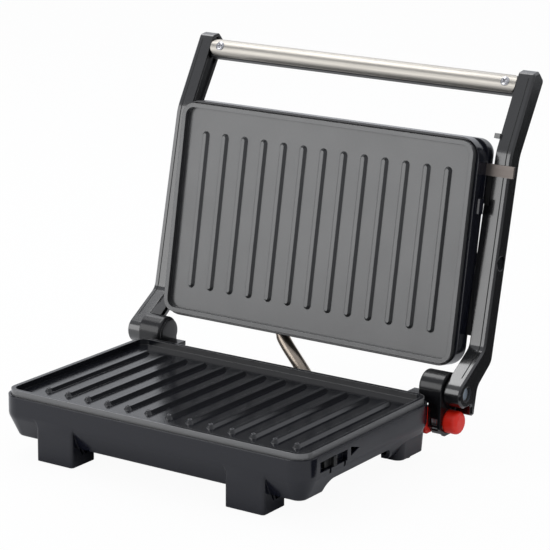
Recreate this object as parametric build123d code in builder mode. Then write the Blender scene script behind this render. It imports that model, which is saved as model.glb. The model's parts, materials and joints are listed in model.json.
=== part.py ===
from build123d import *
from math import sin, cos, radians
import os

os.makedirs("parts", exist_ok=True)

# Contact grill with a floating upper plate, lid open. Millimetres, +X right, +Y back, +Z up.
# Sizes are measured from the floor under the centre of the lower plate. Each finished piece is
# written with its origin on the floor in the middle of the whole grill, middle_y behind that.
middle_y = 51.5

# Plates
plate_w, plate_d, plate_r = 230.0, 145.0, 9.0
rib_n, rib_pitch, rib_len, rib_w, rib_slope = 13, 16.0, 108.5, 5.6, 33.0
rim_up, rim_t, floor_down, plate_t = 1.8, 3.0, 2.2, 3.0
skirt_down = 9.0
plate_z = 42.0

# Lower housing
base_w, base_d, base_r, base_wall = 235.0, 150.0, 13.0, 2.6
base_bottom, base_top, base_knee, base_lean = 12.0, 40.0, 27.0, 25.0
ledge_z, seat_z = 34.3, 36.8
foot_x0, foot_x1, foot_depth, foot_z = 59.0, 88.0, 23.5, 1.2
leg_x0, leg_x1, leg_y0, leg_y1 = 91.5, 103.1, 62.0, 85.0
skirt_x0, skirt_x1, skirt_y0, skirt_y1, skirt_z = 100.0, 113.5, 40.0, 70.0, 8.0
arch_y0, arch_y1, arch_z, arch_r = -46.0, 30.0, 20.5, 8.0
cover_z, cover_t = 23.4, 2.2
recess_y0, recess_y1, recess_z0, recess_z1, recess_deep = -58.5, -28.5, 29.5, 38.6, 3.6

# Hinge
hinge_y, hinge_z, pin_r, boss_r = 88.4, 43.5, 4.0, 9.2
tower_x0, tower_x1, tower_y0, tower_r = 103.5, 120.7, 76.8, 10.7
tower_low_x0, tower_slab_x0, tower_low_z, tower_dome_z = 110.3, 118.6, 14.5, 45.4
running_gap = 0.05

# Release knob
knob_y, knob_z, knob_r, knob_x0, knob_x1 = 86.6, 24.0, 7.6, 121.0, 130.4
knob_stem_r, knob_bore_x = 4.0, 111.5

# Arms and handle
arm_out, arm_in, arm_wall, arm_bevel = 133.2, 121.5, 2.2, 1.2
bar_y, bar_z, bar_lean, bar_half, bar_end_r = 165.7, 231.6, 31.0, 121.2, 5.5
pivot_y, pivot_z, pivot_pin_r, pivot_head_r, pivot_boss_r = 128.3, 121.6, 3.0, 4.7, 4.8

# Upper housing, on a plane that leans back
lean, upper_y, upper_z = 10.05, 110.74, 128.78
upper_w, upper_d, upper_r, upper_wall = 235.0, 149.0, 14.0, 2.4
frame_front, frame_back, cover_back, cover_curve = -2.0, -13.5, -27.0, 8.0
step_s, step_x, cover_r = 33.0, 112.0, 10.0

# Flexible conduit between the housings
conduit_r, conduit_bore, grommet_r, grommet_bore = 4.5, 3.4, 6.0, 5.1
conduit_route = [
    (19.0, 72.6, 29.0), (19.0, 83.5, 29.0), (5.0, 90.5, 38.0),
    (-28.5, 116.5, 47.5), (-28.5, 118.4, 57.9),
]
gland_x, gland_z, gland_r = -70.0, 30.0, 4.0

upper_plane = Plane(
    origin=(0, upper_y, upper_z), x_dir=(1, 0, 0),
    z_dir=(0, -cos(radians(lean)), sin(radians(lean))),
)
lower_plane = Plane(origin=(0, 0, plate_z), x_dir=(1, 0, 0), z_dir=(0, 0, 1))


def finish(piece, name):
    piece.part = piece.part.moved(Location((0, -middle_y, 0)))
    piece.part.label = name
    export_step(piece.part, "parts/" + name + ".step")


def x_plane(x):
    """Side view plane at x: its own x is +Y and its own y is +Z."""
    return Plane(origin=(x, 0, 0), x_dir=(0, 1, 0), z_dir=(1, 0, 0))


# Cast grill plate: a shallow tray with raised ribs, a drip rim and a skirt below
def grill_plate(plane):
    with BuildPart() as plate:
        with BuildSketch(plane.offset(-floor_down - plate_t)):
            RectangleRounded(plate_w, plate_d, plate_r)
        extrude(amount=plate_t + floor_down + rim_up)
        with BuildSketch(plane.offset(-floor_down)):
            RectangleRounded(plate_w - 2 * rim_t, plate_d - 2 * rim_t, plate_r - rim_t)
        extrude(amount=floor_down + rim_up, mode=Mode.SUBTRACT)
        with BuildSketch(plane.offset(-skirt_down)):
            RectangleRounded(plate_w - 8, plate_d - 8, plate_r - 4)
            RectangleRounded(plate_w - 14, plate_d - 14, plate_r - 6, mode=Mode.SUBTRACT)
        extrude(amount=skirt_down - floor_down - 0.5)
        with BuildSketch(plane.offset(-floor_down)):
            with GridLocations(rib_pitch, 0, rib_n, 1):
                SlotOverall(rib_len, rib_w, rotation=90)
        extrude(amount=floor_down, taper=rib_slope)
    return plate


lower_grill_plate = grill_plate(lower_plane)
finish(lower_grill_plate, "lower_grill_plate")
upper_grill_plate = grill_plate(upper_plane)
finish(upper_grill_plate, "upper_grill_plate")


# Tubular heating element: one long loop under each plate
element_down = floor_down + plate_t + 3.3


def heating_element(plane):
    tube_r, half_x, half_y, gap, bend = 3.2, 88.0, 46.0, 18.0, 22.0
    with BuildPart() as element:
        with BuildLine(plane.offset(-element_down)) as path:
            FilletPolyline(
                (-gap, -half_y), (-half_x, -half_y), (-half_x, half_y),
                (half_x, half_y), (half_x, -half_y), (gap, -half_y), radius=bend,
            )
        with BuildSketch(Plane(origin=path.line @ 0, z_dir=path.line % 0)):
            Circle(tube_r)
        sweep()
    return element


lower_heating_element = heating_element(lower_plane)
finish(lower_heating_element, "lower_heating_element")
upper_heating_element = heating_element(upper_plane)
finish(upper_heating_element, "upper_heating_element")


# Heat reflector: a thin pressed tray behind each element
reflector_down = element_down + 5.2


def reflector(plane):
    wide, deep, corner, sheet, lip = 206.0, 122.0, 6.0, 0.6, 2.4
    with BuildPart() as tray:
        with BuildSketch(plane.offset(-reflector_down)):
            RectangleRounded(wide, deep, corner)
        extrude(amount=lip)
        with BuildSketch(plane.offset(-reflector_down + sheet)):
            RectangleRounded(wide - 2 * sheet, deep - 2 * sheet, corner - sheet)
        extrude(amount=lip, mode=Mode.SUBTRACT)
    return tray


lower_reflector = reflector(lower_plane)
finish(lower_reflector, "lower_reflector")
upper_reflector = reflector(upper_plane)
finish(upper_reflector, "upper_reflector")


# Thermostat can and thermal fuse, clipped under the plates
def box_under(plane, x, y, size_x, size_y, size_z):
    with BuildPart() as can:
        with BuildSketch(plane.offset(-floor_down - plate_t - size_z)):
            with Locations((x, y)):
                RectangleRounded(size_x, size_y, 1.5)
        extrude(amount=size_z)
    return can


thermostat = box_under(lower_plane, 0, 6, 22, 18, 7.4)
finish(thermostat, "thermostat")
thermal_fuse = box_under(lower_plane, 40, 6, 24, 6, 6.0)
finish(thermal_fuse, "thermal_fuse")
upper_fuse = box_under(upper_plane, -40, 6, 24, 6, 6.0)
finish(upper_fuse, "upper_thermal_fuse")


# Lower housing: walls that curve under, front feet, rear legs, side arches and a latch recess
def tub(width, depth, corner, bottom, top, edge_r, knee_r):
    with BuildPart() as block:
        with BuildSketch(Plane.XY.offset(base_knee)):
            RectangleRounded(width, depth, corner)
        extrude(amount=top - base_knee)
        with BuildSketch(Plane(origin=(0, 0, base_knee), z_dir=(0, 0, -1))):
            RectangleRounded(width, depth, corner)
        extrude(amount=base_knee - bottom, taper=base_lean)
        fillet(block.faces().sort_by(Axis.Z)[0].edges(), edge_r)
        knee = block.edges().filter_by(lambda edge: abs(edge.center().Z - base_knee) < 0.01)
        fillet(knee, knee_r)
    return block.part


inner_w, inner_d, inner_r = base_w - 2 * base_wall, base_d - 2 * base_wall, base_r - base_wall
with BuildPart() as lower_housing:
    add(tub(base_w, base_d, base_r, base_bottom, base_top, 3.0, 8.0))
    add(tub(inner_w, inner_d, inner_r, base_bottom + base_wall, ledge_z, 1.0, 6.0), mode=Mode.SUBTRACT)
    with BuildSketch(Plane.XY.offset(base_bottom)):
        RectangleRounded(base_w - 24, base_d - 24, 3.0)
    extrude(amount=base_wall + 1, mode=Mode.SUBTRACT)
    with BuildSketch(Plane.XY.offset(skirt_z)):
        for side in (-1, 1):
            with Locations((side * (skirt_x0 + skirt_x1) / 2, (skirt_y0 + skirt_y1) / 2)):
                RectangleRounded(skirt_x1 - skirt_x0, skirt_y1 - skirt_y0, 5.0)
    extrude(amount=cover_z - skirt_z - 0.2, taper=-4)
    with BuildSketch(Plane.XY.offset(foot_z)):
        for side in (-1, 1):
            with Locations((side * (foot_x0 + foot_x1) / 2, (foot_depth - base_d) / 2)):
                RectangleRounded(foot_x1 - foot_x0, foot_depth, 2.0)
    extrude(amount=cover_z - foot_z - 0.2)
    with BuildSketch(Plane.XY.offset(foot_z)):
        for side in (-1, 1):
            with Locations((side * (leg_x0 + leg_x1) / 2, (leg_y0 + base_d / 2) / 2)):
                Rectangle(leg_x1 - leg_x0, base_d / 2 - leg_y0)
    extrude(amount=cover_z - foot_z - 0.2)
    with BuildSketch(Plane.XY.offset(foot_z)):
        for side in (-1, 1):
            with Locations((side * (leg_x0 + leg_x1) / 2, (leg_y0 + leg_y1) / 2)):
                RectangleRounded(leg_x1 - leg_x0, leg_y1 - leg_y0, 1.8)
    extrude(amount=tower_low_z - foot_z - 1.2)
    with BuildSketch(Plane.XY.offset(ledge_z - 1)):
        RectangleRounded(plate_w - 7, plate_d - 7, plate_r - 3.5)
    extrude(amount=base_top, mode=Mode.SUBTRACT)
    with BuildSketch(Plane.XY.offset(seat_z)):
        RectangleRounded(plate_w + 1, plate_d + 1, plate_r + 0.5)
    extrude(amount=base_top, mode=Mode.SUBTRACT)
    with BuildSketch(x_plane(-base_w / 2 - 2)):
        with Locations(((arch_y0 + arch_y1) / 2, arch_z / 2 - 10)):
            RectangleRounded(arch_y1 - arch_y0, arch_z + 20, arch_r)
    extrude(amount=base_w + 4, mode=Mode.SUBTRACT)
    with BuildSketch(x_plane(base_w / 2 - recess_deep - 1.6)):
        with Locations(((recess_y0 + recess_y1) / 2, (recess_z0 + ledge_z) / 2 - 1.2)):
            Rectangle(recess_y1 - recess_y0 + 5, ledge_z - recess_z0 + 2.4)
    extrude(amount=3.0)
    with BuildSketch(x_plane(base_w / 2 - recess_deep)):
        with Locations(((recess_y0 + recess_y1) / 2, (recess_z0 + seat_z) / 2 - 0.3)):
            Rectangle(recess_y1 - recess_y0, seat_z - recess_z0 - 0.6)
        with Locations((-47.0, recess_z0), (-31.0, recess_z0)):
            Rectangle(2.0, 6.5)
        with BuildLine():
            Polyline((-24.5, seat_z), (-15.0, 34.0), (-24.5, 31.0), (-24.5, seat_z))
        make_face()
    extrude(amount=recess_deep + 1, mode=Mode.SUBTRACT)
    with Locations(Plane(origin=(gland_x, base_d / 2, gland_z), z_dir=(0, 1, 0))):
        Hole(gland_r, depth=8)
    for face_x in (-foot_x0, foot_x1):
        with BuildSketch(x_plane(face_x + 1)):
            Polygon((-72.5, 22.5), (-54.5, 22.5), (-54.5, 8.0), (-65.0, 8.0), align=None)
            with BuildLine():
                Polyline((-70.0, 23.0), (-68.4, 23.0), (-61.6, 7.0), (-63.2, 7.0), close=True)
            make_face(mode=Mode.SUBTRACT)
        extrude(amount=-9.0, mode=Mode.SUBTRACT)
    with Locations(Plane(origin=(19.0, base_d / 2, 29.0), z_dir=(0, 1, 0))):
        Hole(5.0, depth=8)
finish(lower_housing, "lower_housing")


# Bottom cover with round bosses, its screws and the rubber feet
cover_w, cover_d = base_w - 9.8, base_d - 9.8
with BuildPart() as bottom_cover:
    with BuildSketch(Plane.XY.offset(cover_z)):
        RectangleRounded(cover_w, cover_d, base_r - 4.9)
    extrude(amount=cover_t)
    with BuildSketch(Plane.XY.offset(cover_z)):
        with GridLocations(150, 84, 2, 2):
            Circle(6)
    extrude(amount=-3.0)
    with BuildSketch(Plane.XY.offset(cover_z - 3.0)):
        with GridLocations(150, 84, 2, 2):
            Circle(3.4)
    extrude(amount=2.0, mode=Mode.SUBTRACT)
    with BuildSketch(Plane.XY.offset(cover_z)):
        with GridLocations(7, 0, 12, 1):
            SlotOverall(44, 2.6, rotation=90)
    extrude(amount=cover_t, mode=Mode.SUBTRACT)
finish(bottom_cover, "bottom_cover")

with BuildPart() as cover_screws:
    with BuildSketch(Plane.XY.offset(cover_z - 3.0)):
        with GridLocations(150, 84, 2, 2):
            Circle(3.1)
    extrude(amount=2.0)
finish(cover_screws, "bottom_cover_screws")

with BuildPart() as rubber_feet:
    with BuildSketch(Plane.XY):
        for side in (-1, 1):
            with Locations((side * 73.5, -62.0), (side * 97.3, 70.0)):
                Circle(5.0)
    extrude(amount=foot_z)
finish(rubber_feet, "rubber_feet")

with BuildPart() as terminal_block:
    with BuildSketch(Plane.XY.offset(cover_z + cover_t)):
        with Locations((-40, 65.5)):
            Rectangle(30, 6.4)
    extrude(amount=6.4)
finish(terminal_block, "terminal_block")

with BuildPart() as cord_gland:
    with BuildSketch(Plane(origin=(gland_x, base_d / 2, gland_z), z_dir=(0, 1, 0))):
        Circle(7.0)
    extrude(amount=3.0)
    fillet(cord_gland.faces().sort_by(Axis.Y)[-1].edges(), 1.2)
    with BuildSketch(Plane(origin=(gland_x, base_d / 2, gland_z), z_dir=(0, 1, 0))):
        Circle(gland_r)
    extrude(amount=-base_wall)
    with Locations(Plane(origin=(gland_x, base_d / 2 + 3, gland_z), z_dir=(0, 1, 0))):
        Hole(2.6)
finish(cord_gland, "cord_gland")


# Hinge towers behind the housing, each with a domed top; the right one holds the release knob
def hinge_tower(side, with_knob):
    mid_y = tower_y0 + tower_r
    with BuildPart() as tower:
        with BuildSketch(x_plane(side * tower_x0)):
            with Locations((mid_y, tower_dome_z)):
                Circle(tower_r)
            with Locations((mid_y, (37.0 + tower_dome_z) / 2)):
                Rectangle(2 * tower_r, tower_dome_z - 37.0)
        extrude(amount=side * (tower_x1 - tower_x0))
        inner = tower.faces().filter_by(Axis.X).sort_by(Axis.X)[0 if side > 0 else -1]
        fillet(inner.edges().sort_by(Axis.Z)[1:], 2.0)
        for x0, front in ((tower_low_x0, tower_y0 + 2.2), (tower_slab_x0, tower_y0)):
            with BuildSketch(x_plane(side * x0)):
                with BuildLine():
                    Polyline(
                        (front, 38.0), (front, 20.5), (front + 6.0, tower_low_z),
                        (tower_y0 + 2 * tower_r, tower_low_z), (tower_y0 + 2 * tower_r, 38.0),
                        close=True,
                    )
                make_face()
            extrude(amount=side * (tower_x1 - x0))
        with BuildSketch(Plane.XY.offset(37.0)):
            with Locations((side * 97.9, 83.5)):
                Rectangle(11.4, 16.9)
        extrude(amount=3.0)
        with BuildSketch(x_plane(side * tower_x0)):
            with Locations((hinge_y, hinge_z)):
                Circle(pin_r)
        extrude(amount=side * 30, mode=Mode.SUBTRACT)
        if with_knob:
            with BuildSketch(x_plane(knob_bore_x)):
                with Locations((knob_y, knob_z)):
                    Circle(knob_r + 0.3)
            extrude(amount=20, mode=Mode.SUBTRACT)
            with BuildSketch(x_plane(tower_low_x0 - 1)):
                with Locations((knob_y, knob_z)):
                    Circle(knob_stem_r + running_gap)
            extrude(amount=20, mode=Mode.SUBTRACT)
    return tower


tower_left = hinge_tower(-1, False)
finish(tower_left, "hinge_tower_left")
tower_right = hinge_tower(1, True)
finish(tower_right, "hinge_tower_right")


def hinge_pin(side):
    with BuildPart() as pin:
        with BuildSketch(x_plane(side * tower_x0)):
            with Locations((hinge_y, hinge_z)):
                Circle(pin_r)
        extrude(amount=side * (131.4 - tower_x0))
    return pin


pin_left = hinge_pin(-1)
finish(pin_left, "hinge_pin_left")
pin_right = hinge_pin(1)
finish(pin_right, "hinge_pin_right")

# Release knob: a barrel on a stem, held from inside by a flat red catch
with BuildPart() as release_knob:
    with BuildSketch(x_plane(knob_x0)):
        with Locations((knob_y, knob_z)):
            Circle(knob_r)
    extrude(amount=knob_x1 - knob_x0)
    fillet(release_knob.faces().sort_by(Axis.X)[-1].edges(), 3.0)
    with BuildSketch(x_plane(tower_low_x0 - 3.0)):
        with Locations((knob_y, knob_z)):
            Circle(knob_stem_r)
    extrude(amount=knob_x0 - tower_low_x0 + 4)
    with BuildSketch(x_plane(tower_low_x0 - 2.8)):
        with Locations((82.6, 24.5)):
            RectangleRounded(12.0, 18.0, 2.0)
    extrude(amount=2.6)
finish(release_knob, "release_knob")

with BuildPart() as release_spring:
    with BuildLine() as coil:
        Helix(1.35, 8.4, 5.9, center=(knob_bore_x + 0.6, knob_y, knob_z), direction=(1, 0, 0))
    with BuildSketch(Plane(origin=coil.line @ 0, z_dir=coil.line % 0)):
        Circle(0.45)
    sweep(is_frenet=True)
finish(release_spring, "release_spring")


# Side arm: an open channel that bends twice, with a bearing boss, a heel and a pivot boss
arm_outline = [
    (94.9, 27.6), (98.6, 26.2), (102.9, 44.9), (120.2, 57.1), (149.8, 187.5),
    (178.9, 233.6), (172.5, 240.6), (165.9, 239.7), (138.1, 191.7), (110.3, 68.1),
    (79.2, 48.6), (79.2, 34.3), (94.9, 34.3),
]
arm_radii = [1.6, 1.6, 9.0, 9.0, 24.0, 3.5, 2.5, 2.0, 34.0, 9.0, 9.1, 9.1, 1.5]


rail_outline = [(112.4, 76.0), (116.0, 76.0), (134.4, 158.0), (130.8, 158.0)]
rail_deep, rail_run = 3.2, 40.0

with BuildSketch() as arm_profile:
    with BuildLine():
        FilletPolyline(*arm_outline, radius=arm_radii, close=True)
    make_face()


def side_arm(side):
    with BuildPart() as arm:
        with BuildSketch(x_plane(side * arm_in)):
            add(arm_profile.sketch_local)
        extrude(amount=side * (arm_out - arm_in))
        outer = arm.faces().filter_by(Axis.X).sort_by(Axis.X)[-1 if side > 0 else 0]
        chamfer(outer.outer_wire().edges(), arm_bevel)
        with BuildSketch(x_plane(side * arm_in)):
            add(arm_profile.sketch_local)
            offset(amount=-arm_wall)
            with Locations((hinge_y, hinge_z)):
                Circle(boss_r, mode=Mode.SUBTRACT)
            with Locations((pivot_y, pivot_z)):
                Circle(pivot_boss_r, mode=Mode.SUBTRACT)
        extrude(amount=side * (arm_out - arm_in - arm_wall), mode=Mode.SUBTRACT)
        with BuildSketch(x_plane(side * (arm_in - 7.5))):
            with Locations((pivot_y, pivot_z)):
                Circle(pivot_boss_r)
        extrude(amount=side * 8.5)
        with BuildSketch(x_plane(side * (arm_in + 1))):
            with BuildLine():
                Polyline(*rail_outline, close=True)
            make_face()
        extrude(amount=-side * (rail_deep + 1))
        with BuildSketch(Plane.XZ):
            with BuildLine():
                Polyline(
                    (side * arm_in, 74.0), (side * (arm_in - rail_deep - 1), 74.0),
                    (side * (arm_in - rail_deep - 1), 74.0 + rail_run), close=True,
                )
            make_face()
        extrude(amount=200, both=True, mode=Mode.SUBTRACT)
        with BuildSketch(x_plane(side * 100)):
            with Locations((hinge_y, hinge_z)):
                Circle(pin_r + running_gap)
            with Locations((pivot_y, pivot_z)):
                Circle(pivot_pin_r + running_gap)
        extrude(amount=side * 40, mode=Mode.SUBTRACT)
        with BuildSketch(x_plane(side * (arm_out - 3.2))):
            with Locations((pivot_y, pivot_z)):
                Circle(pivot_head_r + 0.1)
        extrude(amount=side * 5, mode=Mode.SUBTRACT)
        with BuildSketch(x_plane(side * (arm_out - 1.8))):
            with Locations((hinge_y, hinge_z)):
                Circle(pin_r + 0.9)
        extrude(amount=side * 5, mode=Mode.SUBTRACT)
        if side > 0:
            with BuildSketch(x_plane(arm_in - 3.7)):
                with Locations((144.2, 201.0)):
                    Rectangle(4.4, 3.2, rotation=-20)
            extrude(amount=4.2)
    return arm


arm_left = side_arm(-1)
finish(arm_left, "arm_left")
arm_right = side_arm(1)
finish(arm_right, "arm_right")


# Inner cover that closes each arm channel, set in a little
def arm_cover(side):
    with BuildPart() as cover:
        with BuildSketch(x_plane(side * (arm_in + 1.4))):
            add(arm_profile.sketch_local)
            offset(amount=-arm_wall)
            with Locations((hinge_y, hinge_z)):
                Circle(boss_r + 1.5, mode=Mode.SUBTRACT)
            with Locations((pivot_y, pivot_z)):
                Circle(pivot_boss_r, mode=Mode.SUBTRACT)
            with Locations((94.0, 26.0)):
                Rectangle(30, 24, mode=Mode.SUBTRACT)
        extrude(amount=side * 1.4)
    return cover


cover_left = arm_cover(-1)
finish(cover_left, "arm_cover_left")
cover_right = arm_cover(1)
finish(cover_right, "arm_cover_right")

# Handle: a black core between the arms and a brushed steel shell wrapped over its front
bar_side = Plane(
    origin=(-bar_half, bar_y, bar_z), x_dir=(0, sin(radians(bar_lean)), cos(radians(bar_lean))),
    z_dir=(1, 0, 0),
)
bar_front = Plane(
    origin=(0, bar_y, bar_z), x_dir=(1, 0, 0),
    z_dir=(0, -cos(radians(bar_lean)), sin(radians(bar_lean))),
)
shell_t, shell_half, shell_rise = 0.8, 6.3, 4.0
core_high, core_mid = 13.2, -0.3


def half_round(half, rise):
    with BuildSketch() as section:
        with BuildLine():
            Line((-half, 0), (half, 0))
            ThreePointArc((half, 0), (0, rise), (-half, 0))
        make_face()
    return section.sketch_local


with BuildPart() as handle_core:
    with BuildSketch(bar_side):
        add(half_round(shell_half - shell_t, shell_rise - shell_t))
        with Locations((core_mid, -3.0)):
            RectangleRounded(core_high, 6.0, 1.2)
    extrude(amount=2 * bar_half)
    with BuildSketch(bar_front.offset(5)):
        with GridLocations(226.4, 0, 2, 1):
            Circle(1.5)
    extrude(amount=-9.0, mode=Mode.SUBTRACT)
    for side in (-1, 1):
        with BuildSketch(bar_side.offset(bar_half + side * bar_half)):
            with Locations((core_mid, -3.0)):
                Rectangle(core_high - 2.4, 4.4)
        extrude(amount=side * (arm_in - bar_half))
finish(handle_core, "handle_core")

with BuildPart() as handle_grip:
    with BuildSketch(bar_side):
        add(half_round(shell_half, shell_rise))
    extrude(amount=2 * bar_half)
    with BuildSketch(bar_side):
        add(half_round(shell_half - shell_t, shell_rise - shell_t))
    extrude(amount=2 * bar_half, mode=Mode.SUBTRACT)
    with BuildSketch(bar_front):
        RectangleRounded(2 * bar_half, 2 * shell_half + 0.4, bar_end_r)
    extrude(amount=8, mode=Mode.INTERSECT)
    with BuildSketch(bar_front.offset(6)):
        with GridLocations(226.4, 0, 2, 1):
            Circle(1.5)
    extrude(amount=-9.0, mode=Mode.SUBTRACT)
finish(handle_grip, "handle_grip")

with BuildPart() as handle_screws:
    with BuildSketch(bar_front.offset(shell_rise)):
        with GridLocations(226.4, 0, 2, 1):
            Circle(2.9)
    extrude(amount=1.2)
    with BuildSketch(bar_front.offset(shell_rise)):
        with GridLocations(226.4, 0, 2, 1):
            Circle(1.5)
    extrude(amount=-7.5)
finish(handle_screws, "handle_screws")

# Upper frame: the front half of the floating housing, around the plate
with BuildPart() as upper_frame:
    with BuildSketch(upper_plane.offset(frame_back)):
        RectangleRounded(upper_w, upper_d, upper_r)
    extrude(amount=frame_front - frame_back)
    with BuildSketch(upper_plane.offset(frame_back)):
        RectangleRounded(plate_w - 7, plate_d - 7, plate_r - 3.5)
    extrude(amount=frame_front - frame_back, mode=Mode.SUBTRACT)
    with BuildSketch(upper_plane.offset(-floor_down - plate_t)):
        RectangleRounded(plate_w + 1, plate_d + 1, plate_r + 0.5)
    extrude(amount=10, mode=Mode.SUBTRACT)
    with BuildSketch(upper_plane.offset(-9.5)):
        with Locations((upper_w / 2 + 1.2, 31.5)):
            Rectangle(3.4, 10.0)
    extrude(amount=5.0)
finish(upper_frame, "upper_frame")


# Upper cover: the back half, narrower at the hinge side where the arms stand
def cover_block(width, low, high, corner, inset, skip=0):
    with BuildPart() as block:
        with BuildSketch(upper_plane.offset(frame_back)) as block_sketch:
            with Locations((0, (low + high) / 2)):
                Rectangle(width - 2 * inset, high - low - 2 * inset)
            fillet(block_sketch.vertices().sort_by(Axis.Y)[2 if skip else 0:], corner - inset)
        extrude(amount=cover_back - frame_back + inset)
        rear = block.faces().filter_by(upper_plane).sort_by(Axis.Y)[-1]
        fillet(rear.edges().sort_by(Axis.Z)[skip:], cover_curve - inset)
    return block.part


grommet_plane = Plane(
    origin=upper_plane.from_local_coords(Vector(-28.5, -upper_d / 2, -19.9)),
    x_dir=(1, 0, 0), z_dir=(0, -sin(radians(lean)), -cos(radians(lean))),
)
lamp_spots = [(-9.0, 52.0), (9.0, 52.0)]
with BuildPart() as upper_cover:
    add(cover_block(2 * step_x, -upper_d / 2, upper_d / 2, cover_r, 0))
    add(cover_block(upper_w, step_s, upper_d / 2, cover_r, 0, skip=1))
    add(cover_block(2 * step_x, -upper_d / 2, upper_d / 2, cover_r, upper_wall), mode=Mode.SUBTRACT)
    add(cover_block(upper_w, step_s, upper_d / 2, cover_r, upper_wall, skip=1), mode=Mode.SUBTRACT)
    with BuildSketch(upper_plane.offset(cover_back - 1)):
        with Locations(*lamp_spots):
            Circle(3.0)
    extrude(amount=10, mode=Mode.SUBTRACT)
    with BuildSketch(x_plane(-120)):
        with Locations((pivot_y, pivot_z)):
            Circle(pivot_pin_r)
    extrude(amount=240, mode=Mode.SUBTRACT)
    with BuildSketch(grommet_plane.offset(2)):
        Circle(grommet_r)
    extrude(amount=-8, mode=Mode.SUBTRACT)
finish(upper_cover, "upper_cover")

with BuildPart() as conduit_grommet:
    with BuildSketch(grommet_plane.offset(-6)):
        Circle(grommet_r)
        Circle(grommet_bore, mode=Mode.SUBTRACT)
    extrude(amount=6.8)
finish(conduit_grommet, "conduit_grommet")

with BuildPart() as indicator_lamps:
    with BuildSketch(upper_plane.offset(cover_back + upper_wall)):
        with Locations(*lamp_spots):
            Circle(3.0)
    extrude(amount=-upper_wall - 0.8)
finish(indicator_lamps, "indicator_lamps")


def pivot_pin(side):
    with BuildPart() as pin:
        with BuildSketch(x_plane(side * (step_x - 5))):
            with Locations((pivot_y, pivot_z)):
                Circle(pivot_pin_r)
        extrude(amount=side * (arm_out - 3.0 - step_x + 5))
        with BuildSketch(x_plane(side * (arm_out - 3.0))):
            with Locations((pivot_y, pivot_z)):
                Circle(pivot_head_r)
        extrude(amount=side * 1.6)
    return pin


pivot_left = pivot_pin(-1)
finish(pivot_left, "pivot_pin_left")
pivot_right = pivot_pin(1)
finish(pivot_right, "pivot_pin_right")

# Stop tab on the right, in front of the arm
with BuildPart() as stop_tab:
    with BuildSketch(upper_plane.offset(-14.9)):
        with Locations(((upper_w / 2 + 137.4) / 2, 55.3)):
            RectangleRounded(137.4 - upper_w / 2, 7.7, 0.6)
    extrude(amount=2.0)
finish(stop_tab, "stop_tab")

# Conduit: steel flexible tube from the housing's back wall to the floating housing
with BuildPart() as wiring_conduit:
    with BuildLine() as route:
        FilletPolyline(*conduit_route, radius=[5.5, 12.0, 5.5])
    with BuildSketch(Plane(origin=route.line @ 0, z_dir=route.line % 0)):
        Circle(conduit_r)
        Circle(conduit_bore, mode=Mode.SUBTRACT)
    sweep()
finish(wiring_conduit, "wiring_conduit")

with BuildPart() as conduit_ferrule:
    with BuildSketch(Plane(origin=(19.0, base_d / 2, 29.0), z_dir=(0, 1, 0))):
        Circle(6.6)
    extrude(amount=2.0)
    with BuildSketch(Plane(origin=(19.0, base_d / 2, 29.0), z_dir=(0, 1, 0))):
        Circle(5.0)
    extrude(amount=-base_wall)
    with Locations(Plane(origin=(19.0, base_d / 2 + 2.0, 29.0), z_dir=(0, 1, 0))):
        Hole(conduit_r + 0.1)
finish(conduit_ferrule, "conduit_ferrule")

# Storage latch: a small slider in the right side recess
with BuildPart() as storage_latch:
    with BuildSketch(x_plane(base_w / 2 - recess_deep + 0.1)):
        with Locations((-45.0, 33.0)):
            Rectangle(12.0, 6.0)
    extrude(amount=1.5)
    with BuildSketch(x_plane(base_w / 2 - recess_deep + 0.1)):
        with Locations((-42.6, 33.0)):
            Rectangle(3.4, 6.0)
    extrude(amount=recess_deep + 0.4)
finish(storage_latch, "storage_latch")
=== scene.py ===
import json
import math

import bmesh
import bpy
from mathutils import Matrix, Vector


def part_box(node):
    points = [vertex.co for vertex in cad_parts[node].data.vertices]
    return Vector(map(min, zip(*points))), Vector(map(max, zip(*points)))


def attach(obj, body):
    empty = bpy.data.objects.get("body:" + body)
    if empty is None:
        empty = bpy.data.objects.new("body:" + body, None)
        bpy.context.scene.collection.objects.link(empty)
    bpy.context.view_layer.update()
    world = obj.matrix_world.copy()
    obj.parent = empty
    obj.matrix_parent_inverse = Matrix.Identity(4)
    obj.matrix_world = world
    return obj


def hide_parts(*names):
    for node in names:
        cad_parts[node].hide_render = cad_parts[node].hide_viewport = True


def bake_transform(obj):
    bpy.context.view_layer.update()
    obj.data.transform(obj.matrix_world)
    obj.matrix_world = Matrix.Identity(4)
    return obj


bl_info = {
    "name": "Contact grill",
    "version": (1, 0, 0),
    "blender": (4, 5, 0),
    "location": "3D View > Sidebar > Grill",
    "description": "Finishes, details and studio for an electric contact grill",
    "category": "Object",
}

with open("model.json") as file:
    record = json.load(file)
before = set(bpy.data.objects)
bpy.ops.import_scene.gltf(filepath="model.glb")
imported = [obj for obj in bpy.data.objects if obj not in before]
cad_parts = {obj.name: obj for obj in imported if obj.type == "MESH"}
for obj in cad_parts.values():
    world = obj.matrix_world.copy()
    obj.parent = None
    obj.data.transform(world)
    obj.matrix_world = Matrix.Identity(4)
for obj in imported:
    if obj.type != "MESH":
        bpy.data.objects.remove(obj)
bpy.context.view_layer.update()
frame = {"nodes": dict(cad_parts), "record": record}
NODES = frame["nodes"]


def middle(node):
    """Middle of a node's box, in the row frame."""
    low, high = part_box(node)
    return (low + high) / 2


# Grill plates: both have the same outline; the upper one leans back
low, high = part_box("lower_grill_plate")
PLATE_WIDTH, PLATE_DEPTH = high.x - low.x, high.y - low.y
PLATE_CORNER = 0.009
RIM_SKIN = 0.0004
PLATE_LEAN = math.radians(10.05)

# Radius by which edges look softened
MOULDED_EDGE, CAST_EDGE, KNOB_EDGE = 0.0006, 0.0005, 0.0022
MOULDED_GRAIN, DRAWN_GRAIN = 0.0002, 0.0001

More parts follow.
